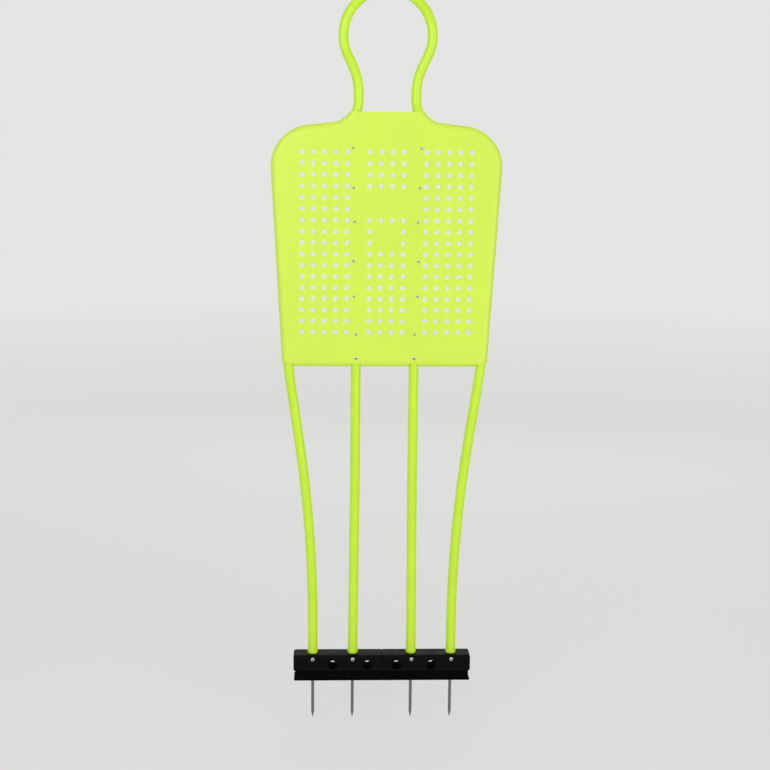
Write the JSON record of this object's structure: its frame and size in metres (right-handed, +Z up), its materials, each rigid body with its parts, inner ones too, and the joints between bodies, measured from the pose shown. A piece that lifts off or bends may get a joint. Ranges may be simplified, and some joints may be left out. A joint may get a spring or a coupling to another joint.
{
  "type": "free kick mannequin",
  "caption": "Life-size free kick mannequin: a bent tube silhouette with a perforated torso panel on a black base bar with ground spikes.",
  "frame": {"origin": "middle of the sole's underside, where the base meets the turf", "axes": "+X across the figure to the right as seen from the front, +Z up, the front of the panel faces -Y"},
  "size_m": [0.5844, 0.0633, 1.9135],
  "materials": {
    "tube_paint": "fluorescent lime gloss powder coat",
    "panel_plastic": "fluorescent yellow-green formed sheet, satin",
    "base_plastic": "black moulded plastic, satin",
    "sole_plastic": "black moulded plastic, dull",
    "zinc_steel": "bright zinc plate",
    "spike_steel": "grey turned steel"
  },
  "bodies": {
    "frame": {"outer_tube": "tube_paint", "inner_tube_left": "tube_paint", "inner_tube_right": "tube_paint", "torso_panel": "panel_plastic", "base_block_left": "base_plastic", "base_block_right": "base_plastic", "sole": "sole_plastic", "tube_plug_outer_left": "sole_plastic", "tube_plug_inner_left": "sole_plastic", "tube_plug_inner_right": "sole_plastic", "tube_plug_outer_right": "sole_plastic", "foot_screw_outer_left": "zinc_steel", "foot_screw_inner_left": "zinc_steel", "foot_screw_inner_right": "zinc_steel", "foot_screw_outer_right": "zinc_steel", "spike_bush_outer_left": "zinc_steel", "spike_bush_inner_left": "zinc_steel", "spike_bush_inner_right": "zinc_steel", "spike_bush_outer_right": "zinc_steel", "sole_screw_outer_left": "zinc_steel", "sole_screw_inner_left": "zinc_steel", "sole_screw_inner_right": "zinc_steel", "sole_screw_outer_right": "zinc_steel", "panel_screw_left_1": "zinc_steel", "panel_screw_left_2": "zinc_steel", "panel_screw_left_3": "zinc_steel", "panel_screw_left_4": "zinc_steel", "panel_screw_left_5": "zinc_steel", "panel_screw_left_6": "zinc_steel", "panel_screw_left_7": "zinc_steel", "panel_screw_right_1": "zinc_steel", "panel_screw_right_2": "zinc_steel", "panel_screw_right_3": "zinc_steel", "panel_screw_right_4": "zinc_steel", "panel_screw_right_5": "zinc_steel", "panel_screw_right_6": "zinc_steel", "panel_screw_right_7": "zinc_steel"},
    "spike_outer_left": {"spike_outer_left": "spike_steel"},
    "spike_inner_left": {"spike_inner_left": "spike_steel"},
    "spike_inner_right": {"spike_inner_right": "spike_steel"},
    "spike_outer_right": {"spike_outer_right": "spike_steel"}
  },
  "joints": [
    {"name": "spike_outer_left_unscrew", "type": "slide", "parent": "frame", "child": "spike_outer_left", "axis": [0, 0, -1], "range_m": [0, 0.021]},
    {"name": "spike_inner_left_unscrew", "type": "slide", "parent": "frame", "child": "spike_inner_left", "axis": [0, 0, -1], "range_m": [0, 0.021]},
    {"name": "spike_inner_right_unscrew", "type": "slide", "parent": "frame", "child": "spike_inner_right", "axis": [0, 0, -1], "range_m": [0, 0.021]},
    {"name": "spike_outer_right_unscrew", "type": "slide", "parent": "frame", "child": "spike_outer_right", "axis": [0, 0, -1], "range_m": [0, 0.021]}
  ]
}
